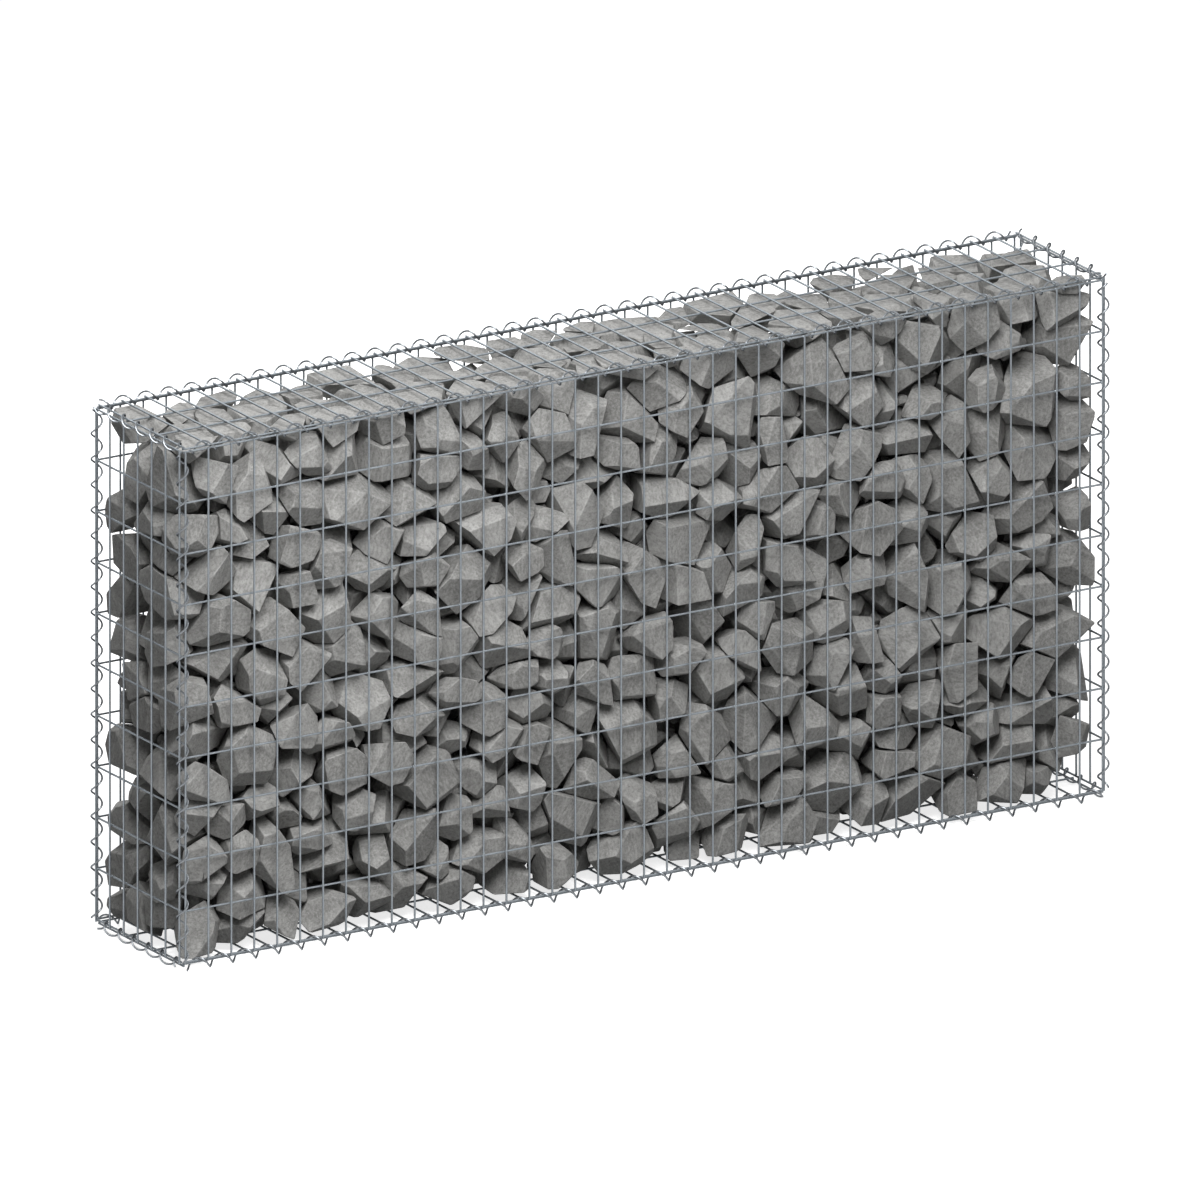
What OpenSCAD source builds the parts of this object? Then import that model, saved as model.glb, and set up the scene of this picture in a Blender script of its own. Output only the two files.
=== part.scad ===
// Gabion wall: one welded-mesh basket, laced along its twelve edges with spiral wires and filled with stone

/* [Basket] */
// Length between the two edge uprights of the front mesh
basket_l = 2000; // [500:50:3000]
// Depth between the two edge uprights of an end mesh
basket_d = 300; // [200:50:1000]
// Height between the bottom and top wires of the front mesh
basket_h = 1000; // [300:50:2000]

/* [Welded mesh] */
// Thickness of a mesh wire
wire_d = 4; // [3:0.1:6]
// Spacing of the close wires, which lie on the outside of every mesh
close_pitch = 50; // [40:5:75]
// Spacing of the wide wires, which lie on the inside of every mesh
wide_pitch = 100; // [75:5:150]
// Depth to which crossing wires are pressed into each other at a weld
weld_sink = 0.4; // [0.2:0.1:0.8]
// Length of a close wire's end past the edge wire that it crosses
close_stub = 3; // [1:0.5:4]
// Clear gap between the two edge wires that a spiral ties along a long edge
edge_gap = 2; // [1:0.1:4]
// Clear gap between a wide wire's end and the next mesh
stub_gap = 0.4; // [0.2:0.1:1]

/* [Spiral binders] */
// Thickness of the spiral wire
spiral_d = 3.5; // [2.5:0.1:4.5]
// Play between the edge wires and the inside of a spiral
spiral_play = 0.3; // [0.1:0.1:0.8]
// Least distance of a spiral's ends from the corners of the basket
corner_gap = 5; // [1:0.5:30]

/* [Stone fill] */
// Gap between the fill and the edge planes of the standing meshes
fill_gap = 11; // [10:1:30]
// Height left free between the fill and the edge plane of the lid
fill_headroom = 30; // [10:5:120]
// Gap between the fill and the base wires that carry it
fill_seat = 0.3; // [0:0.1:1]
// Size of a stone in the faces of the fill
stone_size = 100; // [70:5:200]
// Depth of the deepest joints between the stones
joint_depth = 24; // [5:1:30]
// Number that settles the irregular places of the joints
stone_seed = 7; // [1:1:99]

/* [Hidden] */
wire_colour = "lightslategray";
spiral_colour = "slategray";
stone_colour = "dimgray";

// Sides of a mesh wire, sides of a spiral wire, and straight steps in a turn of a spiral.
// An odd number gives a mesh wire a ridge at its welds and a flat away from them.
bar_sides = 7;
strand_sides = 4;
turn_steps = 6;

// Share of a stone that a joint may wander, and least and added shares of the joint depth
wander_share = 0.22;
shallow_share = 0.45;
deep_share = 0.55;

// Share of a stone that its crown may lean to a side, and share of the joint depth that it may stay back
lean_share = 0.2;
crown_share = 0.35;

// Distances of a mesh wire's ridge and flat from its middle
bar_r = wire_d / (1 + cos(180 / bar_sides));
bar_flat = wire_d - bar_r;

// Distances of the two wire layers outside the edge planes
inner_out = (2 * bar_r + edge_gap) / sqrt(2);
outer_out = inner_out + 2 * bar_r - weld_sink;
wide_stub = inner_out - bar_r - stub_gap;

// Coil sizes: the widest pair of edge wires is at the upright edges.
// A strand's section is a square of the round wire's area, given by half its diagonal.
seat_r = outer_out / sqrt(2);
bore_r = seat_r + bar_r + spiral_play;
strand_r = spiral_d * sqrt(PI / 8);
coil_r = (bore_r + strand_r) / cos(180 / turn_steps);

// Places of the spirals' axes outside the edge planes
upright_seat = seat(outer_out, outer_out);
long_seat = seat(inner_out, inner_out);
end_seat = seat(inner_out, outer_out);

// Height of the base's edge plane over the ground, on which the lowest spirals rest
base_z = max(long_seat[1], end_seat[1]) + coil_reach(basket_d / bays(basket_d, close_pitch));

// Lower corner, size and stone counts of the fill
fill_low = [
    fill_gap - basket_l / 2,
    fill_gap - basket_d / 2,
    base_z - inner_out + bar_flat + fill_seat
];
fill_size = [
    basket_l - 2 * fill_gap,
    basket_d - 2 * fill_gap,
    base_z + basket_h - fill_headroom - fill_low[2]
];
stones = [for (s = fill_size) bays(s, stone_size)];
joint_count = (stones[0] + 1) * (stones[1] + 1) * (stones[2] + 1);
wander = rands(-1, 1, 3 * joint_count, stone_seed);
crown_wander = rands(-1, 1, 3 * joint_count, stone_seed + 1);

// Number of equal bays that a span is divided into
function bays(span, pitch) = max(1, round(span / pitch));

// Axis of a spiral that touches the wires at [p, 0] and [0, q] from the outside
function seat(p, q) =
    let (half = norm([p, q]) / 2)
    [p, q] / 2 + sqrt(max(0, seat_r * seat_r - half * half)) / (2 * half) * [q, p];

// One corner of the strand's square section, at a turn angle measured from the inward diagonal
function strand_point(angle, pitch, corner) =
    let (
        radial = [cos(angle), sin(angle), 0],
        slope = [-coil_r * sin(angle), coil_r * cos(angle), pitch / (2 * PI)],
        side = cross(slope / norm(slope), radial),
        turn = 360 * (corner + 1 / 2) / strand_sides
    )
    coil_r * radial
    + strand_r * (cos(turn) * radial + sin(turn) * side)
    + [0, 0, pitch * (angle + 180) / 360];

// Greatest reach of a coil towards either of its two outer faces, at 135 degrees from the inward diagonal
function coil_reach(pitch) =
    let (outward = [cos(135), sin(135), 0])
    max([
        for (step = [0:turn_steps - 1], corner = [0:strand_sides - 1])
            strand_point(180 + 360 * step / turn_steps, pitch, corner) * outward
    ]);

// Place of a lattice line of the fill along one axis: joints are sunk in the outer faces
function joint_place(axis, index, shift) =
    let (sunk = joint_depth * (shallow_share + deep_share * abs(shift)))
    index == 0 ? fill_low[axis] + (axis == 2 ? 0 : sunk)
    : index == stones[axis] ? fill_low[axis] + fill_size[axis] - sunk
    : fill_low[axis] + fill_size[axis] / stones[axis] * (index + wander_share * shift);

// Point where the joints of neighbouring stones meet
function joint_point(at) =
    let (row = at[0] + (stones[0] + 1) * (at[1] + (stones[1] + 1) * at[2]))
    [for (axis = [0:2]) joint_place(axis, at[axis], wander[3 * row + axis])];

// The four joint points round one stone face, and the point of the stone that stands out of it
function stone_face(axis, outer, row, column) =
    let (
        level = outer ? stones[axis] : 0,
        ring = outer ? [[0, 0], [0, 1], [1, 1], [1, 0]] : [[0, 0], [1, 0], [1, 1], [0, 1]],
        points = [for (r = ring) joint_point(lattice(axis, level, row + r[0], column + r[1]))],
        middle = (points[0] + points[1] + points[2] + points[3]) / len(points),
        lean = crown_lean(lattice(axis, level, row, column)),
        rise = outer ? 1 : -1,
        flat_bed = axis == 2 && !outer,
        sunk = flat_bed ? 0 : joint_depth * crown_share * abs(lean[axis]),
        crown = fill_low[axis] + (outer ? fill_size[axis] : 0) - rise * sunk
    )
    concat(points, [[
        for (a = [0:2])
            a == axis ? crown : middle[a] + lean_share * lean[a] * fill_size[a] / stones[a]
    ]]);

// How far the crown of a stone leans off the middle of its cell and stays back, each as -1 to 1
function crown_lean(at) =
    let (row = at[0] + (stones[0] + 1) * (at[1] + (stones[1] + 1) * at[2]))
    [for (axis = [0:2]) crown_wander[3 * row + axis]];

// Lattice indices in x, y, z order, from a face's axis, its level and its row and column
function lattice(axis, level, row, column) =
    axis == 0 ? [level, row, column] : axis == 1 ? [column, level, row] : [row, column, level];

// Straight mesh wire along z, with its ridge turned to an angle from the x axis
module bar(l, ridge) {
    rotate(ridge) cylinder(r = bar_r, h = l, $fn = bar_sides);
}

// Welded mesh in the xy plane, outside up: close wires along y over wide wires along x.
// half is -1 or 1 for the part at one side of a bay's middle, or 0 for the whole mesh.
module mesh_panel(u_span, v_span, half = 0) {
    u_bays = bays(u_span, close_pitch);
    v_bays = bays(v_span, wide_pitch);
    u_step = u_span / u_bays;
    v_step = v_span / v_bays;
    middle_bay = floor(u_bays / 2);
    cut = u_step * (middle_bay + 1 / 2) - u_span / 2;
    first = half > 0 ? middle_bay + 1 : 0;
    last = half < 0 ? middle_bay : u_bays;
    wide_from = half > 0 ? cut : -u_span / 2 - wide_stub;
    wide_to = half < 0 ? cut : u_span / 2 + wide_stub;
    color(wire_colour) union() {
        for (i = [first:last])
            translate([u_step * i - u_span / 2, -v_span / 2 - close_stub, outer_out])
                rotate([-90, 0, 0]) bar(v_span + 2 * close_stub, 90);
        for (j = [0:v_bays])
            translate([wide_from, v_step * j - v_span / 2, inner_out])
                rotate([0, 90, 0]) bar(wide_to - wide_from, 180);
    }
}

// Right-handed coil along z that crosses the inward diagonal, its x axis, midway between cross wires
module coil(span, turns) {
    pitch = span / turns;
    step_l = pitch / turn_steps;
    first = ceil(corner_gap / step_l);
    last = floor((span - corner_gap) / step_l);
    rings = last - first + 1;
    points = [
        for (step = [first:last], corner = [0:strand_sides - 1])
            strand_point(360 * step / turn_steps - 180, pitch, corner)
    ];
    sides = [
        for (r = [0:rings - 2], c = [0:strand_sides - 1])
            let (
                here = r * strand_sides,
                ahead = here + strand_sides,
                next = (c + 1) % strand_sides
            )
            each [[here + c, ahead + c, here + next], [ahead + c, ahead + next, here + next]]
    ];
    near_end = [for (c = [0:strand_sides - 1]) c];
    far_end = [for (c = [1:strand_sides]) rings * strand_sides - c];
    color(spiral_colour) polyhedron(points, concat([near_end], sides, [far_end]), convexity = 10);
}

// Standing mesh on the front of a basket of the given width and depth
module standing_mesh(width, depth, half = 0) {
    translate([0, -depth / 2, base_z + basket_h / 2]) rotate([90, 0, 0]) mesh_panel(width, basket_h, half);
}

// Mesh of the front face, or of the back when turned round
module long_mesh(turned, half) {
    rotate(turned) standing_mesh(basket_l, basket_d, half);
}

// Mesh of the left end face, or of the right when turned round
module end_mesh(turned) {
    rotate(turned - 90) standing_mesh(basket_d, basket_l);
}

module base_mesh() {
    translate([0, 0, base_z]) rotate([180, 0, 0]) mesh_panel(basket_l, basket_d);
}

module lid_mesh() {
    translate([0, 0, base_z + basket_h]) mesh_panel(basket_l, basket_d);
}

// Spiral along a front edge, at the top for rise 1 and at the bottom for rise -1, or along a back edge
module long_spiral(turned, rise) {
    edge_z = base_z + (rise > 0 ? basket_h : 0);
    rotate(turned)
        translate([-basket_l / 2, -basket_d / 2 - long_seat[0], edge_z + rise * long_seat[1]])
            rotate([0, 90, 0]) rotate(atan2(1, rise))
                coil(basket_l, bays(basket_l, close_pitch));
}

// Spiral along an edge of the left end, or of the right end when turned round
module end_spiral(turned, rise) {
    edge_z = base_z + (rise > 0 ? basket_h : 0);
    rotate(turned)
        translate([-basket_l / 2 - end_seat[0], -basket_d / 2, edge_z + rise * end_seat[1]])
            rotate([-90, 0, 0]) rotate(atan2(rise, 1))
                coil(basket_d, bays(basket_d, close_pitch));
}

// Spiral up the front edge at the left for side -1 or at the right for side 1, or up a back edge
module upright_spiral(turned, side) {
    turns = bays(basket_h, wide_pitch) * bays(wide_pitch, close_pitch);
    rotate(turned)
        translate([
            side * (basket_l / 2 + upright_seat[0]),
            -basket_d / 2 - upright_seat[1],
            base_z
        ])
            rotate(atan2(1, -side)) coil(basket_h, turns);
}

// The heap of stones as one mass, with a flat bed on the base wires and a stone's face in every cell
module stone_fill() {
    cells = [
        for (axis = [0:2], outer = [false, true])
            let (row_axis = (axis + 1) % 3, column_axis = (axis + 2) % 3)
            for (row = [0:stones[row_axis] - 1], column = [0:stones[column_axis] - 1])
                stone_face(axis, outer, row, column)
    ];
    corners = len(cells[0]) - 1;
    points = [for (cell = cells) each cell];
    faces = [
        for (i = [0:len(cells) - 1], c = [0:corners - 1])
            let (first = i * (corners + 1))
            [first + c, first + (c + 1) % corners, first + corners]
    ];
    color(stone_colour) polyhedron(points, faces, convexity = 10);
}

long_mesh(0, -1);  // front_mesh_left
long_mesh(0, 1);  // front_mesh_right
long_mesh(180, 1);  // back_mesh_left
long_mesh(180, -1);  // back_mesh_right
end_mesh(0);  // left_end_mesh
end_mesh(180);  // right_end_mesh
base_mesh();
lid_mesh();
long_spiral(0, 1);  // spiral_front_top
long_spiral(0, -1);  // spiral_front_bottom
long_spiral(180, 1);  // spiral_back_top
long_spiral(180, -1);  // spiral_back_bottom
end_spiral(0, 1);  // spiral_left_top
end_spiral(0, -1);  // spiral_left_bottom
end_spiral(180, 1);  // spiral_right_top
end_spiral(180, -1);  // spiral_right_bottom
upright_spiral(0, -1);  // spiral_front_left
upright_spiral(0, 1);  // spiral_front_right
upright_spiral(180, 1);  // spiral_back_left
upright_spiral(180, -1);  // spiral_back_right
stone_fill();
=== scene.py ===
# Gabion wall: welded mesh panels, spiral binders and broken stone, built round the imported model
import math
import random

import bmesh
import bpy
import numpy as np
from mathutils import Matrix, Quaternion, Vector, geometry
from mathutils.bvhtree import BVHTree


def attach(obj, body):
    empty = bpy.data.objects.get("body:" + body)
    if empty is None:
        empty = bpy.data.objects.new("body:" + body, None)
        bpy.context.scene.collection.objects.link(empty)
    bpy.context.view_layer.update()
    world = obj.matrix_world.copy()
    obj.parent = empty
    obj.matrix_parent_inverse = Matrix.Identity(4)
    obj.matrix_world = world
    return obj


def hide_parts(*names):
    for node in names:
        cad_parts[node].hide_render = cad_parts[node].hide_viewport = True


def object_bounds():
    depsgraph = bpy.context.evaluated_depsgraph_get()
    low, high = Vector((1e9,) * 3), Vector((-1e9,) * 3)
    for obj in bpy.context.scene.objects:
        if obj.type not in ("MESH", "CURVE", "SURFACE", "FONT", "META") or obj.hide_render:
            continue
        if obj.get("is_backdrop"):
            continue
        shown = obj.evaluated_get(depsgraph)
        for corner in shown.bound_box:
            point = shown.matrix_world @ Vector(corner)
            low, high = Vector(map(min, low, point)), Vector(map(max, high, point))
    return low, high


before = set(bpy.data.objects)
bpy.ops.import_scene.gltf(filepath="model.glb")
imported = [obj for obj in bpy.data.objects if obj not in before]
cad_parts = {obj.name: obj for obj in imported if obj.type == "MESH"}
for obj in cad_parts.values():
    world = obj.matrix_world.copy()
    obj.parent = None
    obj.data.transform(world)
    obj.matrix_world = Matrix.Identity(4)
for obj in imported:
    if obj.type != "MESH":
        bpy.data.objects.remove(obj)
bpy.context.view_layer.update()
scene = bpy.context.scene

# Basket sizes in metres, the same as in the part
BASKET_L = 2.0
BASKET_D = 0.3
BASKET_H = 1.0
BASE_Z = 0.01904697
WIRE_R = 0.002
CLOSE_PITCH = 0.05
WIDE_PITCH = 0.1
CLOSE_STUB = 0.003
WIDE_STUB = 0.0018858
INNER_OUT = 0.00438999
OUTER_OUT = 0.00819837

# Mesh wire: sides of its section, chamfer and taper of its cut ends, both as shares of the radius
WIRE_SIDES = 12
CUT_CHAMFER = 0.2
CUT_TAPER = 0.3

# Weld nuggets: width and height as shares of the wire radius, and how much they vary
WELD_WIDE = 1.42
WELD_HIGH = 0.72
WELD_SWELL = (0.88, 1.16)
WELD_SEED = 5

# Bend in radians past which an edge of a wire stays sharp
SHARP_BEND = 0.72

# Spiral binders: wire radius, sides of its section, steps in a turn, and seats of the axes off the edges
SPIRAL_R = 0.0019
STRAND_SIDES = 8
TURN_STEPS = 28
COIL_R = 0.0082013 + SPIRAL_R
SPIRAL_INSET = 0.004
LONG_SEAT = (0.00565697, 0.00565697)
END_SEAT = (0.00524697, 0.00573343)
UPRIGHT_SEAT = (0.00409918, 0.00409918)

# Stones: the room they are poured into, their slack outside it, and the rounding of their edges
STONE_GAP = 0.005
STONE_FLOOR = 0.0172
STONE_TOP = 1.0205
STONE_SLACK = 0.003
EDGE_ROUND = 0.002
STONE_SEED = 31

# Shape of a stone: stretch along its axes, count and depth of its flats, and their least angle
STONE_STRETCH = ((0.95, 1.25), (0.85, 1.08), (0.70, 0.95))
FLAT_COUNT = (8, 12)
FLAT_DEPTH = (0.58, 1.0)
FLAT_TRIES = 400
FLATS_APART = math.cos(math.radians(33))
SAME_FLAT = math.radians(5)

# Furthest corner of a stone, and corners that are merged, as shares of its size
CORNER_REACH = 0.72
CORNER_MERGE = 0.05

# Layers in which the stones start: stones along and across, height of a layer, and random shifts
LAYER_COLUMNS = 17
LAYER_ROWS = 2
LAYER_STEP = 0.115
SHIFT_ALONG = 0.004
SHIFT_ACROSS = 0.006

# Settling: formwork boards, friction and a gentle gravity
BOARD_THICK = 0.25
BOARD_TOP = 3.4
BOARD_FRICTION = 0.3
STONE_FRICTION = 0.35
SETTLE_GRAVITY = 3.0

# Pours, the heap first and then the topping up: count, least and greatest size, start level, frames
POURS = [
    (850, 0.084, 0.130, 0.0, 70),
    (34, 0.090, 0.135, 1.0, 45),
    (34, 0.090, 0.135, 1.0, 45),
    (34, 0.085, 0.130, 1.0, 45),
    (34, 0.080, 0.125, 1.0, 45),
]
BED_DEPTH = 0.35

# Stones that stick out of the top are broken off under the lid, on a slight slope
BREAK_SLOPE = 0.10
BREAK_LEAST = 0.018

# Small stones wedged into the voids in the middle of the heap
CHIP_TRIES = 6000
CHIP_BAND = 0.075
CHIP_HEADROOM = 0.09
CHIP_END = 0.06
CHIP_LEAST = 0.008
CHIP_MOST = 0.030
CHIP_WEDGE = 2.5

# Search for the middle of a void: most steps, length of a step, and the least gain that is worth one
VOID_STEPS = 24
VOID_STEP = 0.002
VOID_GAIN = 0.0001

# Camera at the photograph's angle
CAMERA_AZIMUTH = math.radians(-31.26)
CAMERA_ELEVATION = math.radians(18.0)
CAMERA_DISTANCE = 25.0
CAMERA_REACH = 200.0
FRAME_WIDTH = 2.237
AIM_DROP = 0.001

# Studio: floor, brightness of the room for diffuse light, and lamps by name, place, width and power
WHITE = (1.0, 1.0, 1.0, 1.0)
FLOOR_RADIUS = 60.0
FLOOR_GREY = (0.18, 0.18, 0.18, 1.0)
FLOOR_PALE = (0.8, 0.8, 0.8, 1.0)
FLOOR_LIFT = 0.765
ROOM_LIGHT = 0.165
LAMP_AIM = Vector((0.0, 0.0, 0.5))
LAMPS = [
    ("key", (-1.3, -2.2, 3.5), 2.5, 183.0),
    ("top", (1.96, -1.28, 4.3), 1.1, 24.0),
    ("back", (-0.8, 3.4, 3.2), 1.7, 50.0),
    ("rear", (1.8, 4.0, 1.6), 2.4, 75.0),
]

# Rock colours: hollows, body, specks, and worn edges that also carry a painted highlight
ROCK_DARK = (0.195, 0.193, 0.186, 1.0)
ROCK_LIGHT = (0.420, 0.417, 0.406, 1.0)
ROCK_SPECK = (0.13, 0.128, 0.122, 1.0)
# Paler colour of the rounded edges: partly wear, partly a painted highlight
ROCK_WORN_AND_HIGHLIT = (0.46, 0.455, 0.445, 1.0)

# Rock patterns: scales for each metre, and the stretch of the streaks along the bedding
STREAK_SCALE = 210.0
GRAIN_SCALE = 260.0
MOTTLE_SCALE = 32.0
SPECK_SCALE = 800.0
BEDDING = (1.0, 0.75, 0.4)

# Zinc: scales of its dull patches and its grit, and the dark rims of the wires
DULL_SCALE = 35.0
GRIT_SCALE = 900.0
RIM_LEVEL = 0.12
RIM_TINT = (0.15, 0.16, 0.17, 1.0)

# Kinds of input that the Geometry Nodes trees take
FLOAT = "NodeSocketFloat"
WHOLE = "NodeSocketInt"
FINISH = "NodeSocketMaterial"


class Value:
    """An output socket of a node. Sums on it add Math nodes to its tree."""

    def __init__(self, graph, socket):
        self.graph = graph
        self.socket = socket

    def math(self, operation, *others):
        return self.graph.math(operation, self, *others)

    def __add__(self, other):
        return self.graph.math("ADD", self, other)

    def __radd__(self, other):
        return self.graph.math("ADD", other, self)

    def __sub__(self, other):
        return self.graph.math("SUBTRACT", self, other)

    def __rsub__(self, other):
        return self.graph.math("SUBTRACT", other, self)

    def __mul__(self, other):
        return self.graph.math("MULTIPLY", self, other)

    def __rmul__(self, other):
        return self.graph.math("MULTIPLY", other, self)

    def __truediv__(self, other):
        return self.graph.math("DIVIDE", self, other)

    def __rtruediv__(self, other):
        return self.graph.math("DIVIDE", other, self)

    def __gt__(self, other):
        return self.graph.math("GREATER_THAN", self, other)

    def __lt__(self, other):
        return self.graph.math("LESS_THAN", self, other)


class Graph:
    """A node tree under construction."""

    def __init__(self, tree):
        self.tree = tree

    def add(self, kind, settings=None, sockets=None, out=0):
        """Adds a node: first its settings, then the values or links of its sockets."""
        node = self.tree.nodes.new(kind)
        for name, value in (settings or {}).items():
            if name == "stops":
                self.set_stops(node.color_ramp, value)
            else:
                setattr(node, name, value)
        for key, value in (sockets or {}).items():
            self.feed(node.inputs[key], value)
        return Value(self, node.outputs[out]) if node.outputs else node

    def set_stops(self, ramp, stops):
        while len(ramp.elements) < len(stops):
            ramp.elements.new(1.0)
        for element, (place, grey) in zip(ramp.elements, stops):
            element.position = place
            element.color = (grey, grey, grey, 1.0)

    def feed(self, socket, value):
        if isinstance(value, Value):
            self.tree.links.new(value.socket, socket)
        elif isinstance(value, (list, tuple)) and value and isinstance(value[0], Value):
            for item in value:
                self.tree.links.new(item.socket, socket)
        else:
            socket.default_value = value

    def math(self, operation, *values):
        return self.add("ShaderNodeMath", {"operation": operation}, dict(enumerate(values)))

    def mix(self, first, second, factor):
        """A colour between two colours."""
        return self.add(
            "ShaderNodeMix", {"data_type": "RGBA"}, {0: factor, 6: first, 7: second}, out=2
        )

    def noise(self, place, scale, detail=2.0, rough=0.5):
        return self.add(
            "ShaderNodeTexNoise",
            {"noise_dimensions": "3D"},
            {"Vector": place, "Scale": scale, "Detail": detail, "Roughness": rough},
        )

    def vector(self, operation, first, second):
        return self.add("ShaderNodeVectorMath", {"operation": operation}, {0: first, 1: second})

    def ramp(self, factor, stops):
        return self.add("ShaderNodeValToRGB", {"stops": stops}, {0: factor})


def new_material(name):
    """An empty material, with its graph and its surface output."""
    material = bpy.data.materials.new(name)
    material.use_nodes = True
    material.node_tree.nodes.clear()
    graph = Graph(material.node_tree)
    output = graph.add("ShaderNodeOutputMaterial")
    return material, graph, output


def zinc(name, dark, light, metal, rough, spangle_scale):
    """Hot-dipped zinc: small crystal spangles, dull patches and a fine drawn grain."""
    material, graph, output = new_material(name)
    place = graph.add("ShaderNodeTexCoord", out=3)
    crystal = graph.add(
        "ShaderNodeTexVoronoi", {"feature": "F1"}, {"Vector": place, "Scale": spangle_scale}, out=1
    )
    crystal_tone = graph.add("ShaderNodeSeparateColor", None, {0: crystal})
    dull = graph.noise(place, DULL_SCALE, 3.0, 0.6)
    grit = graph.noise(place, GRIT_SCALE, 2.0, 0.6)
    tone = crystal_tone * 0.45 + dull * 0.7 + grit * 0.25 - 0.2
    colour = graph.mix(dark + (1.0,), light + (1.0,), tone)
    bump = graph.add(
        "ShaderNodeBump", None,
        {"Strength": 0.12, "Distance": 0.0003, "Height": grit * 0.6 + crystal_tone * 0.4},
    )
    surface = graph.add(
        "ShaderNodeBsdfPrincipled", None,
        {
            "Base Color": colour,
            "Metallic": metal,
            "Roughness": rough - 0.08 + dull * 0.12 + crystal_tone * 0.08,
            "Specular IOR Level": RIM_LEVEL,
            "Specular Tint": RIM_TINT,
            "Normal": bump,
        },
    )
    graph.feed(output.inputs["Surface"], surface)
    return material


def broken_stone():
    """Quarried rock: grain along each stone's own bedding, mottling, specks, and paler edges that are
    partly wear and partly a painted highlight.
    """
    material, graph, output = new_material("broken_stone")
    place = graph.add("ShaderNodeAttribute", {"attribute_name": "stone_place"}, out=1)
    tone = graph.add("ShaderNodeAttribute", {"attribute_name": "stone_tone"}, out=2)
    # Mask of the rounded edges, which are painted paler as wear and as a painted highlight
    worn_and_highlit = graph.add("ShaderNodeAttribute", {"attribute_name": "worn_edge"}, out=2)
    bedded = graph.vector("MULTIPLY", place, BEDDING)
    streak = graph.noise(bedded, STREAK_SCALE, 3.0, 0.6)
    grain = graph.noise(place, GRAIN_SCALE, 3.0, 0.7)
    mottle = graph.noise(place, MOTTLE_SCALE, 4.0, 0.55)
    speck = graph.ramp(graph.noise(place, SPECK_SCALE, 1.0, 0.5), [(0.28, 0.0), (0.42, 1.0)])
    shade = 0.5 + tone * 0.13 + (mottle - 0.5) * 0.8 + (streak - 0.5) * 1.8 + (grain - 0.5) * 1.3
    colour = graph.mix(ROCK_DARK, ROCK_LIGHT, shade)
    colour = graph.mix(ROCK_SPECK, colour, speck * 0.45 + 0.55)
    # Rounded edges painted paler: some wear, and a painted highlight that does not follow the lamps
    colour = graph.mix(colour, ROCK_WORN_AND_HIGHLIT, worn_and_highlit * (0.1 + (mottle - 0.4) * 0.6))
    height = streak * 0.5 + grain * 0.4 + mottle * 1.6
    bump = graph.add(
        "ShaderNodeBump", None, {"Strength": 0.5, "Distance": 0.0025, "Height": height}
    )
    surface = graph.add(
        "ShaderNodeBsdfPrincipled", None,
        {
            "Base Color": colour,
            "Roughness": 0.80 + grain * 0.2,
            "Specular IOR Level": 0.3,
            "Normal": bump,
        },
    )
    graph.feed(output.inputs["Surface"], surface)
    return material


def new_geometry_tree(name, inputs):
    """A Geometry Nodes tree with named inputs, its graph, and a function that reads an input."""
    tree = bpy.data.node_groups.new(name, "GeometryNodeTree")
    tree.interface.new_socket("Geometry", in_out="OUTPUT", socket_type="NodeSocketGeometry")
    for label, kind in inputs:
        tree.interface.new_socket(label, in_out="INPUT", socket_type=kind)
    graph = Graph(tree)
    source = tree.nodes.new("NodeGroupInput")
    return tree, graph, lambda label: Value(graph, source.outputs[label])


def finish_tree(graph, shape, finish):
    """Smooth sides with sharp cut ends, real geometry and the finish."""
    shape = graph.add("GeometryNodeRealizeInstances", None, {0: shape})
    shape = graph.add("GeometryNodeSetShadeSmooth", {"domain": "FACE"}, {0: shape, 2: True})
    bend = graph.add("GeometryNodeInputMeshEdgeAngle")
    shape = graph.add(
        "GeometryNodeSetShadeSmooth", {"domain": "EDGE"}, {0: shape, 1: bend > SHARP_BEND, 2: False}
    )
    shape = graph.add("GeometryNodeSetMaterial", None, {"Geometry": shape, "Material": finish})
    out = graph.add("NodeGroupOutput")
    graph.feed(out.inputs[0], shape)


def cut_wire(graph, length, radius, chamfer):
    """A straight wire along z from the origin, with both cut ends chamfered."""
    line = graph.add(
        "GeometryNodeCurvePrimitiveLine", {"mode": "POINTS"},
        {"Start": (0.0, 0.0, 0.0), "End": (0.0, 0.0, 1.0)},
    )
    line = graph.add("GeometryNodeResampleCurve", {"mode": "COUNT"}, {"Curve": line, "Count": 4})
    index = graph.add("GeometryNodeInputIndex")
    straight = length - 2.0 * chamfer
    along = (index > 0.5) * chamfer + (index > 1.5) * straight + (index > 2.5) * chamfer
    place = graph.add("ShaderNodeCombineXYZ", None, {"Z": along})
    line = graph.add("GeometryNodeSetPosition", None, {"Geometry": line, "Position": place})
    at_end = (index < 0.5) + (index > 2.5)
    line = graph.add(
        "GeometryNodeSetCurveRadius", None, {"Curve": line, "Radius": 1.0 - CUT_TAPER * at_end}
    )
    section = graph.add(
        "GeometryNodeCurvePrimitiveCircle", {"mode": "RADIUS"},
        {"Resolution": WIRE_SIDES, "Radius": radius},
    )
    return graph.add(
        "GeometryNodeCurveToMesh", None,
        {"Curve": line, "Profile Curve": section, "Fill Caps": True},
    )


def row_of(graph, count, start, step):
    """Points in a row, one for each wire."""
    return graph.add(
        "GeometryNodeMeshLine", {"mode": "OFFSET"},
        {"Count": count, "Start Location": start, "Offset": step},
    )


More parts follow.
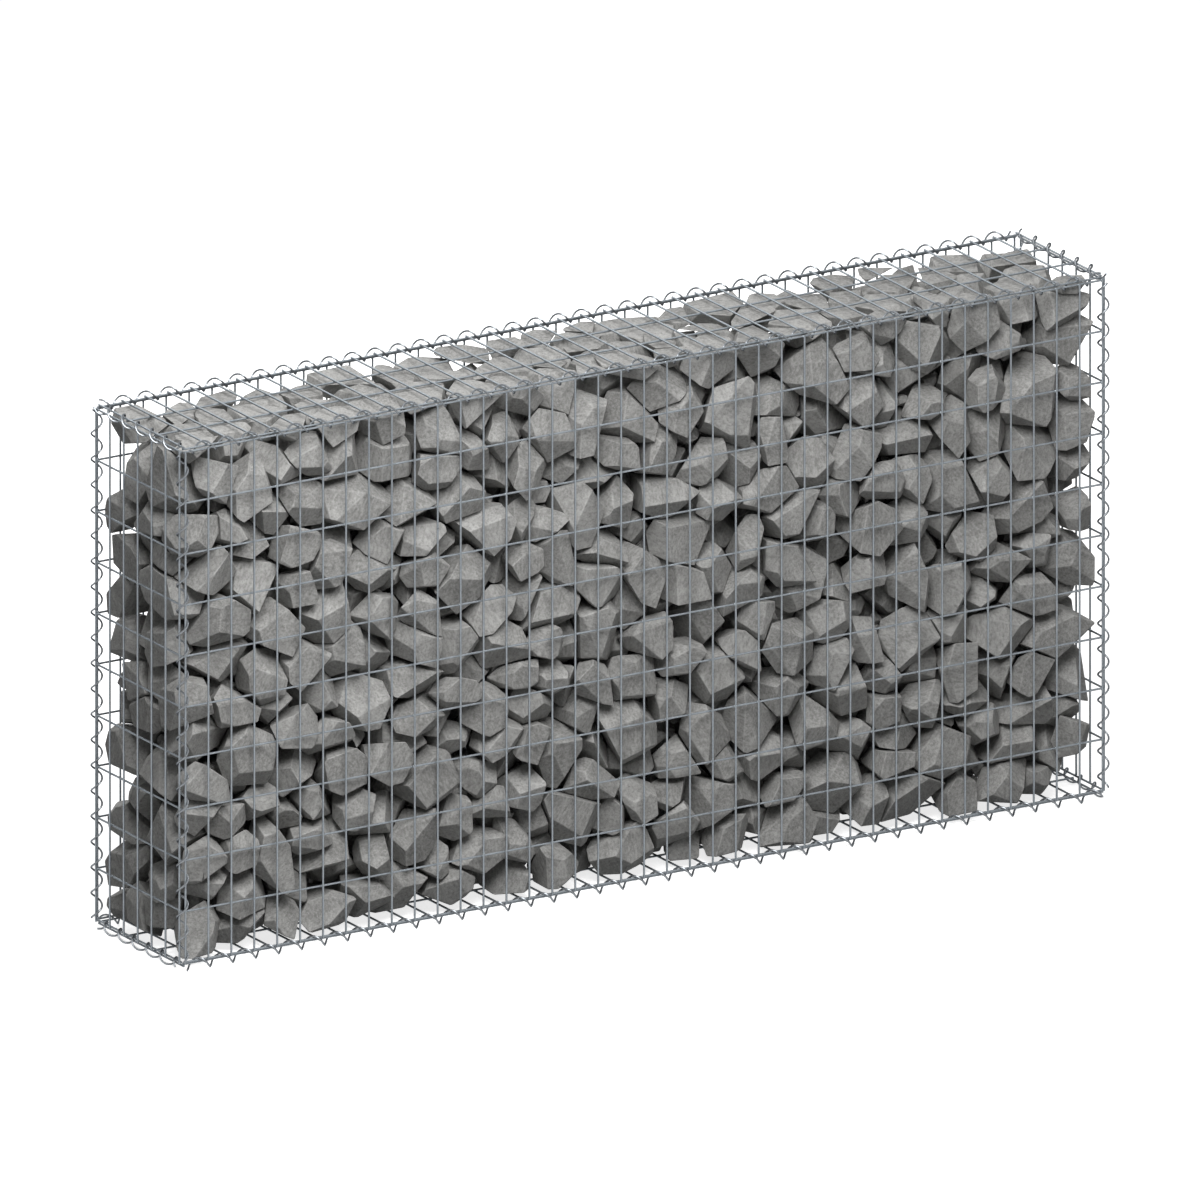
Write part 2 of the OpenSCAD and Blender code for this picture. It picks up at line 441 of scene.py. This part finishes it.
def welded_mesh_tree():
    """A panel in the xy plane, outside up: close wires along y over wide wires along x, and welds."""
    tree, graph, given = new_geometry_tree(
        "welded_mesh",
        [
            ("Width", FLOAT), ("Height", FLOAT), ("Close bays", WHOLE), ("Wide bays", WHOLE),
            ("Wire radius", FLOAT), ("Close stub", FLOAT), ("Wide stub", FLOAT),
            ("Inner layer", FLOAT), ("Outer layer", FLOAT), ("Chamfer", FLOAT),
            ("Finish", FINISH),
        ],
    )
    width, height = given("Width"), given("Height")
    inner, outer = given("Inner layer"), given("Outer layer")
    radius, chamfer = given("Wire radius"), given("Chamfer")
    close_step = width / given("Close bays")
    wide_step = height / given("Wide bays")

    def point(x, y, z):
        return graph.add("ShaderNodeCombineXYZ", None, {"X": x, "Y": y, "Z": z})

    close_wire = cut_wire(graph, height + 2.0 * given("Close stub"), radius, chamfer)
    close_row = row_of(
        graph, given("Close bays") + 1.0,
        point(width * -0.5, height * -0.5 - given("Close stub"), outer),
        point(close_step, 0.0, 0.0),
    )
    close = graph.add(
        "GeometryNodeInstanceOnPoints", None,
        {"Points": close_row, "Instance": close_wire, "Rotation": (-math.pi / 2, 0.0, 0.0)},
    )
    wide_wire = cut_wire(graph, width + 2.0 * given("Wide stub"), radius, chamfer)
    wide_row = row_of(
        graph, given("Wide bays") + 1.0,
        point(width * -0.5 - given("Wide stub"), height * -0.5, inner),
        point(0.0, wide_step, 0.0),
    )
    wide = graph.add(
        "GeometryNodeInstanceOnPoints", None,
        {"Points": wide_row, "Instance": wide_wire, "Rotation": (0.0, math.pi / 2, 0.0)},
    )
    crossings = graph.add(
        "GeometryNodeMeshGrid", None,
        {
            "Size X": width, "Size Y": height,
            "Vertices X": given("Close bays") + 1.0, "Vertices Y": given("Wide bays") + 1.0,
        },
    )
    lifted = graph.add(
        "GeometryNodeSetPosition", None,
        {"Geometry": crossings, "Offset": point(0.0, 0.0, (inner + outer) * 0.5)},
    )
    nugget = graph.add(
        "GeometryNodeMeshUVSphere", None, {"Segments": 8, "Rings": 4, "Radius": radius}
    )
    swell = graph.add(
        "FunctionNodeRandomValue", {"data_type": "FLOAT"},
        {2: WELD_SWELL[0], 3: WELD_SWELL[1], "Seed": WELD_SEED}, out=1,
    )
    swollen = point(swell * WELD_WIDE, swell * WELD_WIDE, swell * WELD_HIGH)
    welds = graph.add(
        "GeometryNodeInstanceOnPoints", None,
        {"Points": lifted, "Instance": nugget, "Scale": swollen},
    )
    joined = graph.add("GeometryNodeJoinGeometry", None, {0: [close, wide, welds]})
    finish_tree(graph, joined, given("Finish"))
    return tree


def spiral_tree():
    """A right-handed spiral of round wire along z, starting on the x axis."""
    tree, graph, given = new_geometry_tree(
        "spiral_binder",
        [
            ("Length", FLOAT), ("Turns", FLOAT), ("Coil radius", FLOAT), ("Wire radius", FLOAT),
            ("Finish", FINISH),
        ],
    )
    path = graph.add(
        "GeometryNodeCurveSpiral", None,
        {
            "Resolution": TURN_STEPS, "Rotations": given("Turns"), "Height": given("Length"),
            "Start Radius": given("Coil radius"), "End Radius": given("Coil radius"),
            "Reverse": True,
        },
    )
    section = graph.add(
        "GeometryNodeCurvePrimitiveCircle", {"mode": "RADIUS"},
        {"Resolution": STRAND_SIDES, "Radius": given("Wire radius")},
    )
    strand = graph.add(
        "GeometryNodeCurveToMesh", None,
        {"Curve": path, "Profile Curve": section, "Fill Caps": True},
    )
    finish_tree(graph, strand, given("Finish"))
    return tree


def grown(name, tree, settings, place):
    """The plain mesh object that a tree makes with these settings, put in its place."""
    mesh = bpy.data.meshes.new(name)
    piece = bpy.data.objects.new(name, mesh)
    scene.collection.objects.link(piece)
    growth = piece.modifiers.new("growth", "NODES")
    growth.node_group = tree
    sockets = {s.name: s.identifier for s in tree.interface.items_tree if s.in_out == "INPUT"}
    for label, value in settings.items():
        growth[sockets[label]] = value
    graph = bpy.context.evaluated_depsgraph_get()
    result = bpy.data.meshes.new_from_object(piece.evaluated_get(graph))
    piece.modifiers.clear()
    piece.data = result
    bpy.data.meshes.remove(mesh)
    result.name = name
    result.transform(place)
    result.update()
    return piece


def keep(piece, slot, *nodes):
    """Fixes a finished piece to the basket in place of its CAD nodes."""
    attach(piece, "root")
    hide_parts(*nodes)


def turned(degrees, axis):
    return Matrix.Rotation(math.radians(degrees), 4, axis)


def moved(x, y, z):
    return Matrix.Translation((x, y, z))


def make_panels(finish):
    """The six mesh panels of the basket."""
    tree = welded_mesh_tree()
    middle = BASE_Z + BASKET_H / 2

    def standing(width, depth, turn):
        upright = moved(0.0, -depth / 2, middle) @ turned(90, "X")
        return (width, BASKET_H, turned(turn, "Z") @ upright)

    panels = {
        "front_panel": standing(BASKET_L, BASKET_D, 0) + (["front_mesh_left", "front_mesh_right"],),
        "back_panel": standing(BASKET_L, BASKET_D, 180) + (["back_mesh_left", "back_mesh_right"],),
        "left_end_panel": standing(BASKET_D, BASKET_L, -90) + (["left_end_mesh"],),
        "right_end_panel": standing(BASKET_D, BASKET_L, 90) + (["right_end_mesh"],),
        "base_panel": (BASKET_L, BASKET_D, moved(0, 0, BASE_Z) @ turned(180, "X"), ["base_mesh"]),
        "lid_panel": (BASKET_L, BASKET_D, moved(0, 0, BASE_Z + BASKET_H), ["lid_mesh"]),
    }
    for name, (width, height, place, nodes) in panels.items():
        settings = {
            "Width": width, "Height": height,
            "Close bays": round(width / CLOSE_PITCH), "Wide bays": round(height / WIDE_PITCH),
            "Wire radius": WIRE_R, "Close stub": CLOSE_STUB, "Wide stub": WIDE_STUB,
            "Inner layer": INNER_OUT, "Outer layer": OUTER_OUT, "Chamfer": WIRE_R * CUT_CHAMFER,
            "Finish": finish,
        }
        keep(grown(name, tree, settings, place), "mesh_wire", *nodes)


def make_binders(finish):
    """The twelve spirals that lace the panels together along the edges."""
    tree = spiral_tree()
    half_l, half_d = BASKET_L / 2, BASKET_D / 2

    def wind(name, length, place):
        pitch = CLOSE_PITCH
        run = length - 2 * SPIRAL_INSET
        start = moved(0, 0, SPIRAL_INSET) @ turned(360 * SPIRAL_INSET / pitch - 180, "Z")
        settings = {
            "Length": run, "Turns": run / pitch, "Coil radius": COIL_R, "Wire radius": SPIRAL_R,
            "Finish": finish,
        }
        piece = grown("binder_" + name, tree, settings, place @ start)
        keep(piece, "spiral_wire", "spiral_" + name)

    for level, rise in (("top", 1), ("bottom", -1)):
        edge = BASE_Z + (BASKET_H if rise > 0 else 0.0)
        for side, turn in (("front", 0), ("back", 180)):
            seat = moved(-half_l, -half_d - LONG_SEAT[0], edge + rise * LONG_SEAT[1])
            lay = turned(90, "Y") @ turned(45 if rise > 0 else 135, "Z")
            wind(f"{side}_{level}", BASKET_L, turned(turn, "Z") @ seat @ lay)
        for side, turn in (("left", 0), ("right", 180)):
            seat = moved(-half_l - END_SEAT[0], -half_d, edge + rise * END_SEAT[1])
            lay = turned(-90, "X") @ turned(45 * rise, "Z")
            wind(f"{side}_{level}", BASKET_D, turned(turn, "Z") @ seat @ lay)
    for face, turn in (("front", 0), ("back", 180)):
        for side, hand in (("left", -1), ("right", 1)):
            sign = hand if turn == 0 else -hand
            seat = moved(sign * (half_l + UPRIGHT_SEAT[0]), -half_d - UPRIGHT_SEAT[1], BASE_Z)
            lay = turned(45 if sign < 0 else 135, "Z")
            wind(f"{face}_{side}", BASKET_H, turned(turn, "Z") @ seat @ lay)


def stone_block(rng, size):
    """A convex block of broken rock of about this size, with a few large flats."""
    stretch = Vector([rng.uniform(*limits) for limits in STONE_STRETCH])
    corners = []
    while not corners or max(corner.length for corner in corners) > size * CORNER_REACH:
        flats = rng.randint(*FLAT_COUNT)
        normals = []
        for _ in range(FLAT_TRIES):
            way = Vector((rng.gauss(0, 1), rng.gauss(0, 1), rng.gauss(0, 1))).normalized()
            if all(way.dot(other) < FLATS_APART for other in normals):
                normals.append(way)
            if len(normals) == flats:
                break
        planes = [(*way, -size / 2 * rng.uniform(*FLAT_DEPTH)) for way in normals]
        corners, _ = geometry.points_in_planes(planes)
    return closed_block([Vector(corner) * stretch for corner in corners], size * CORNER_MERGE)


def closed_block(points, merge):
    """The convex block round some points, each of its flats as one face."""
    block = bmesh.new()
    for point in points:
        block.verts.new(point)
    bmesh.ops.remove_doubles(block, verts=block.verts, dist=merge)
    hull = bmesh.ops.convex_hull(block, input=block.verts)
    spare = hull["geom_interior"] + hull["geom_unused"]
    loose = {item for item in spare if isinstance(item, bmesh.types.BMVert)}
    bmesh.ops.delete(block, geom=list(loose), context="VERTS")
    bmesh.ops.dissolve_limit(block, angle_limit=SAME_FLAT, verts=block.verts, edges=block.edges)
    bmesh.ops.recalc_face_normals(block, faces=block.faces)
    return block


def rounded_block(block):
    """The block with rounded edges: points, faces, normals of the flats at the points, and the rounded
    edge faces, painted paler as wear and as a painted highlight.
    """
    block.normal_update()
    planes = [(face.normal.copy(), face.normal.dot(face.verts[0].co)) for face in block.faces]
    bmesh.ops.bevel(
        block, geom=block.edges[:], offset=EDGE_ROUND, offset_type="OFFSET", segments=1,
        profile=0.5, affect="EDGES", clamp_overlap=True,
    )
    block.normal_update()
    block.verts.index_update()
    points = np.array([v.co for v in block.verts])
    ways = np.array([p[0] for p in planes])
    offsets = np.array([p[1] for p in planes])
    nearest = np.abs(points @ ways.T - offsets).argmin(axis=1)
    faces = [[v.index for v in face.verts] for face in block.faces]
    # Rounded edge faces, which the rock finish paints paler: partly wear, partly a painted highlight
    worn_and_highlit = [len(set(nearest[face])) > 1 for face in faces]
    return points, faces, ways[nearest], worn_and_highlit


def basket_room():
    """Lowest and highest corner of the room inside the basket."""
    low = Vector((STONE_GAP - BASKET_L / 2, STONE_GAP - BASKET_D / 2, STONE_FLOOR))
    high = Vector((BASKET_L / 2 - STONE_GAP, BASKET_D / 2 - STONE_GAP, STONE_TOP))
    return low, high


def start_places(rng, low, high, count, level_z):
    """Loose layers of stones above each other, to be dropped."""
    places = []
    for index in range(count):
        level, rest = divmod(index, LAYER_COLUMNS * LAYER_ROWS)
        row, column = divmod(rest, LAYER_COLUMNS)
        along = low.x + (high.x - low.x) * (column + 0.5) / LAYER_COLUMNS
        across = low.y + (high.y - low.y) * (row + 0.5) / LAYER_ROWS
        spot = Vector((
            along + rng.uniform(-SHIFT_ALONG, SHIFT_ALONG),
            across + rng.uniform(-SHIFT_ACROSS, SHIFT_ACROSS),
            low.z + level_z + LAYER_STEP * (level + 0.75),
        ))
        spin = Quaternion([rng.gauss(0, 1) for _ in range(4)]).normalized()
        places.append((spot, spin))
    return places


def form_board(name, low, high):
    """A thick board of the formwork that holds the stones while they settle."""
    mesh = bpy.data.meshes.new(name)
    board = bmesh.new()
    bmesh.ops.create_cube(board, size=1)
    size = [high[a] - low[a] for a in range(3)]
    bmesh.ops.scale(board, vec=size, verts=board.verts)
    board.to_mesh(mesh)
    board.free()
    piece = bpy.data.objects.new(name, mesh)
    piece.location = [(high[a] + low[a]) / 2 for a in range(3)]
    scene.collection.objects.link(piece)
    return piece


def set_bodies(pieces, kind, shape, friction):
    """Makes the pieces rigid bodies of one kind."""
    for piece in bpy.context.selected_objects:
        piece.select_set(False)
    for piece in pieces:
        piece.select_set(True)
    bpy.context.view_layer.objects.active = pieces[0]
    bpy.ops.rigidbody.objects_add(type=kind)
    for piece in pieces:
        body = piece.rigid_body
        body.collision_shape = shape
        body.use_margin = True
        body.collision_margin = 0.001
        body.friction = friction
        body.restitution = 0.0
        body.linear_damping = 0.05
        body.angular_damping = 0.15


def heap_shell(heap, over):
    """Points and faces of the stones of the heap that lie over a level."""
    points, faces = [], []
    for block, rest in heap:
        if rest.translation.z > over:
            block.verts.index_update()
            faces += [[len(points) + vert.index for vert in face.verts] for face in block.faces]
            points += [rest @ vert.co for vert in block.verts]
    return points, faces


def bed_of(heap, over):
    """The upper stones of the heap as one fixed mesh, for later stones to land on."""
    points, faces = heap_shell(heap, over)
    mesh = bpy.data.meshes.new("bed")
    mesh.from_pydata(points, [], faces)
    bed = bpy.data.objects.new("bed", mesh)
    scene.collection.objects.link(bed)
    return bed


def settle(blocks, places, heap, low, high, frames):
    """Drops the blocks onto the heap as rigid bodies and returns where they come to rest."""
    stones = []
    for index, (block, (spot, spin)) in enumerate(zip(blocks, places)):
        mesh = bpy.data.meshes.new(f"drop_{index}")
        block.to_mesh(mesh)
        stone = bpy.data.objects.new(mesh.name, mesh)
        stone.rotation_mode = "QUATERNION"
        stone.location = spot
        stone.rotation_quaternion = spin
        scene.collection.objects.link(stone)
        stones.append(stone)
    x, y = high.x + BOARD_THICK, high.y + BOARD_THICK
    foot = low.z - BOARD_THICK
    boards = [
        form_board("board_floor", (-x, -y, foot), (x, y, low.z)),
        form_board("board_front", (-x, -y, foot), (x, low.y, BOARD_TOP)),
        form_board("board_back", (-x, high.y, foot), (x, y, BOARD_TOP)),
        form_board("board_left", (-x, -y, foot), (low.x, y, BOARD_TOP)),
        form_board("board_right", (high.x, -y, foot), (x, y, BOARD_TOP)),
    ]
    bpy.ops.rigidbody.world_add()
    world = scene.rigidbody_world
    world.collection = bpy.data.collections.new("settling")
    world.substeps_per_frame = 5
    world.solver_iterations = 12
    world.point_cache.frame_start = 1
    world.point_cache.frame_end = frames + 10
    set_bodies(boards, "PASSIVE", "BOX", BOARD_FRICTION)
    if heap:
        boards.append(bed_of(heap, high.z - BED_DEPTH))
        set_bodies(boards[-1:], "PASSIVE", "MESH", STONE_FRICTION)
    set_bodies(stones, "ACTIVE", "CONVEX_HULL", STONE_FRICTION)
    scene.gravity = (0.0, 0.0, -SETTLE_GRAVITY)
    for step in range(1, frames + 1):
        scene.frame_set(step)
    graph = bpy.context.evaluated_depsgraph_get()
    rests = [stone.evaluated_get(graph).matrix_world.copy() for stone in stones]
    bpy.ops.rigidbody.world_remove()
    bpy.data.collections.remove(bpy.data.collections["settling"])
    for piece in stones + boards:
        mesh = piece.data
        bpy.data.objects.remove(piece)
        bpy.data.meshes.remove(mesh)
    scene.frame_set(1)
    return rests


def broken_off(block, rest, top, rng):
    """The block without what sticks out of the top, or None where too little is left."""
    slope = Vector((rng.uniform(-1, 1) * BREAK_SLOPE, rng.uniform(-1, 1) * BREAK_SLOPE, 1.0))
    spots = {vert: rest @ vert.co for vert in block.verts}
    if max(spot.z for spot in spots.values()) <= top:
        return block
    reach = max((spot - rest.translation).xy.length for spot in spots.values())
    middle = Vector((rest.translation.x, rest.translation.y, top - slope.xy.length * reach))
    over = {vert: slope.dot(spot - middle) for vert, spot in spots.items()}
    points = [vert.co.copy() for vert in block.verts if over[vert] <= 0]
    for edge in block.edges:
        one, two = edge.verts
        if over[one] * over[two] < 0:
            points.append(one.co.lerp(two.co, over[one] / (over[one] - over[two])))
    heights = [(rest @ point).z for point in points]
    if not points or max(heights) - min(heights) < BREAK_LEAST:
        return None
    return closed_block(points, EDGE_ROUND)


def fits(block, rest, low, high):
    """Whether a stone at rest lies inside the basket, but for a little slack."""
    corners = [rest @ vert.co for vert in block.verts]
    return all(
        low[axis] - STONE_SLACK < corner[axis] < high[axis] + STONE_SLACK
        for corner in corners for axis in range(3)
    )


def middle_of_void(tree, spot):
    """The point of a void that is furthest from the stones round it, and its distance from them."""
    reach = 0.0
    for _ in range(VOID_STEPS):
        place, way, _, distance = tree.find_nearest(spot)
        away = spot - place
        if away.dot(way) <= 0 or distance < reach + VOID_GAIN:
            break
        reach = distance
        spot = spot + away.normalized() * VOID_STEP
    return spot, reach


def wedged_chips(heap, low, high, rng):
    """Small stones for the voids in the middle of the heap, each held by the stones round it."""
    tree = BVHTree.FromPolygons(*heap_shell(heap, low.z))
    chips = []
    taken = []
    for _ in range(CHIP_TRIES):
        start = Vector((
            rng.uniform(low.x + CHIP_END, high.x - CHIP_END), rng.uniform(-CHIP_BAND, CHIP_BAND),
            rng.uniform(low.z, high.z - CHIP_HEADROOM),
        ))
        spot, reach = middle_of_void(tree, start)
        free = all((spot - other).length > reach + apart for other, apart in taken)
        if not CHIP_LEAST < reach < CHIP_MOST or abs(spot.y) > CHIP_BAND or not free:
            continue
        spin = Quaternion([rng.gauss(0, 1) for _ in range(4)]).normalized()
        pair = stone_block(rng, reach * CHIP_WEDGE), Matrix.LocRotScale(spot, spin, None)
        if fits(*pair, low, high):
            chips.append(pair)
            taken.append((spot, reach))
    return chips


def pour_stones(rng):
    """The stones at rest in the basket: the block of each, and its place."""
    low, high = basket_room()
    heap = []
    for count, small, large, level_z, frames in POURS:
        blocks = [stone_block(rng, rng.uniform(small, large)) for _ in range(count)]
        places = start_places(rng, low, high, count, level_z)
        rests = settle(blocks, places, heap, low, high, frames)
        blocks = [broken_off(block, rest, high.z, rng) for block, rest in zip(blocks, rests)]
        heap += [pair for pair in zip(blocks, rests) if pair[0] and fits(*pair, low, high)]
    return heap + wedged_chips(heap, low, high, rng)


def make_stones(finish):
    """The heap of single stones inside the basket, as one piece."""
    rng = random.Random(STONE_SEED)
    points, faces, normals, local, tones, worn_and_highlit = [], [], [], [], [], []
    first = 0
    for block, rest in pour_stones(rng):
        tone = rng.uniform(-1.0, 1.0)
        offset = Vector((rng.uniform(-9, 9), rng.uniform(-9, 9), rng.uniform(-9, 9)))
        shape, block_faces, ways, block_worn_and_highlit = rounded_block(block)
        block.free()
        turn = np.array(rest.to_3x3())
        points.append(shape @ turn.T + np.array(rest.translation))
        normals.append(ways @ turn.T)
        local.append(shape + np.array(offset))
        tones.append(np.full(len(shape), tone))
        worn_and_highlit.extend(block_worn_and_highlit)
        faces.extend([[first + i for i in face] for face in block_faces])
        first += len(shape)
    mesh = bpy.data.meshes.new("stones")
    mesh.from_pydata(np.concatenate(points).tolist(), [], faces)
    mesh.update()
    mesh.attributes.new("stone_place", "FLOAT_VECTOR", "POINT").data.foreach_set(
        "vector", np.concatenate(local).astype(np.float32).ravel()
    )
    mesh.attributes.new("stone_tone", "FLOAT", "POINT").data.foreach_set(
        "value", np.concatenate(tones).astype(np.float32)
    )
    # Rounded edge faces for the rock finish, painted paler as wear and as a painted highlight
    mesh.attributes.new("worn_edge", "FLOAT", "FACE").data.foreach_set(
        "value", np.array(worn_and_highlit, dtype=np.float32)
    )
    mesh.polygons.foreach_set("use_smooth", [True] * len(mesh.polygons))
    mesh.normals_split_custom_set_from_vertices(np.concatenate(normals).tolist())
    mesh.materials.append(finish)
    piece = bpy.data.objects.new("stones", mesh)
    scene.collection.objects.link(piece)
    keep(piece, "stone", "stone_fill")


def seen_directly(graph):
    """1 for rays that show the background: from the camera, or by way of gloss or glass."""
    path = graph.tree.nodes.new("ShaderNodeLightPath")
    camera = Value(graph, path.outputs["Is Camera Ray"])
    glossy = Value(graph, path.outputs["Is Glossy Ray"])
    through = Value(graph, path.outputs["Is Transmission Ray"])
    return camera.math("MAXIMUM", glossy).math("MAXIMUM", through)


def make_floor(level):
    """A plain white floor under the wall, which keeps its soft shadow."""
    material, graph, output = new_material("studio_floor")
    plain = graph.add("ShaderNodeBsdfDiffuse", None, {"Color": FLOOR_GREY})
    shaded = graph.add("ShaderNodeBsdfDiffuse", None, {"Color": FLOOR_PALE})
    lift = graph.add("ShaderNodeEmission", None, {"Color": WHITE, "Strength": FLOOR_LIFT})
    bright = graph.add("ShaderNodeAddShader", None, {0: shaded, 1: lift})
    surface = graph.add("ShaderNodeMixShader", None, {0: seen_directly(graph), 1: plain, 2: bright})
    graph.feed(output.inputs["Surface"], surface)
    mesh = bpy.data.meshes.new("studio_floor")
    disc = bmesh.new()
    bmesh.ops.create_circle(
        disc, cap_ends=True, segments=96, radius=FLOOR_RADIUS, matrix=moved(0, 0, level)
    )
    disc.to_mesh(mesh)
    disc.free()
    mesh.materials.append(material)
    floor = bpy.data.objects.new("studio_floor", mesh)
    scene.collection.objects.link(floor)
    floor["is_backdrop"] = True


def make_light():
    """A white room, a broad key light from the front left, a small one above and two behind."""
    world = bpy.data.worlds.new("studio")
    scene.world = world
    world.use_nodes = True
    world.node_tree.nodes.clear()
    graph = Graph(world.node_tree)
    output = graph.add("ShaderNodeOutputWorld")
    strength = ROOM_LIGHT + seen_directly(graph) * (1.0 - ROOM_LIGHT)
    sky = graph.add("ShaderNodeBackground", None, {"Color": WHITE, "Strength": strength})
    graph.feed(output.inputs["Surface"], sky)
    for name, place, width, power in LAMPS:
        lamp = bpy.data.lights.new(name, "AREA")
        lamp.shape = "DISK"
        lamp.size = width
        lamp.energy = power
        light = bpy.data.objects.new(name, lamp)
        scene.collection.objects.link(light)
        light.location = place
        light.rotation_mode = "QUATERNION"
        light.rotation_quaternion = (LAMP_AIM - light.location).to_track_quat("-Z", "Y")


def make_camera():
    """A parallel view at the photograph's angle and framing."""
    lens = bpy.data.cameras.new("camera")
    lens.type = "ORTHO"
    lens.ortho_scale = FRAME_WIDTH
    lens.clip_end = CAMERA_REACH
    camera = bpy.data.objects.new("camera", lens)
    scene.collection.objects.link(camera)
    flat = math.cos(CAMERA_ELEVATION)
    back = Vector((
        math.sin(CAMERA_AZIMUTH) * flat,
        -math.cos(CAMERA_AZIMUTH) * flat,
        math.sin(CAMERA_ELEVATION),
    ))
    aim = Vector((0.0, 0.0, BASE_Z + BASKET_H / 2 - AIM_DROP))
    camera.location = aim + back * CAMERA_DISTANCE
    camera.rotation_mode = "QUATERNION"
    camera.rotation_quaternion = (-back).to_track_quat("-Z", "Y")
    scene.camera = camera


scene.view_settings.view_transform = "Standard"
make_camera()
make_light()
make_panels(zinc(
    "mesh_zinc", dark=(0.180, 0.199, 0.217), light=(0.300, 0.327, 0.351),
    metal=0.55, rough=0.32, spangle_scale=380.0,
))
make_binders(zinc(
    "binder_zinc", dark=(0.145, 0.155, 0.166), light=(0.250, 0.264, 0.279),
    metal=0.80, rough=0.29, spangle_scale=420.0,
))
make_stones(broken_stone())
bpy.context.view_layer.update()
make_floor(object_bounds()[0][2])
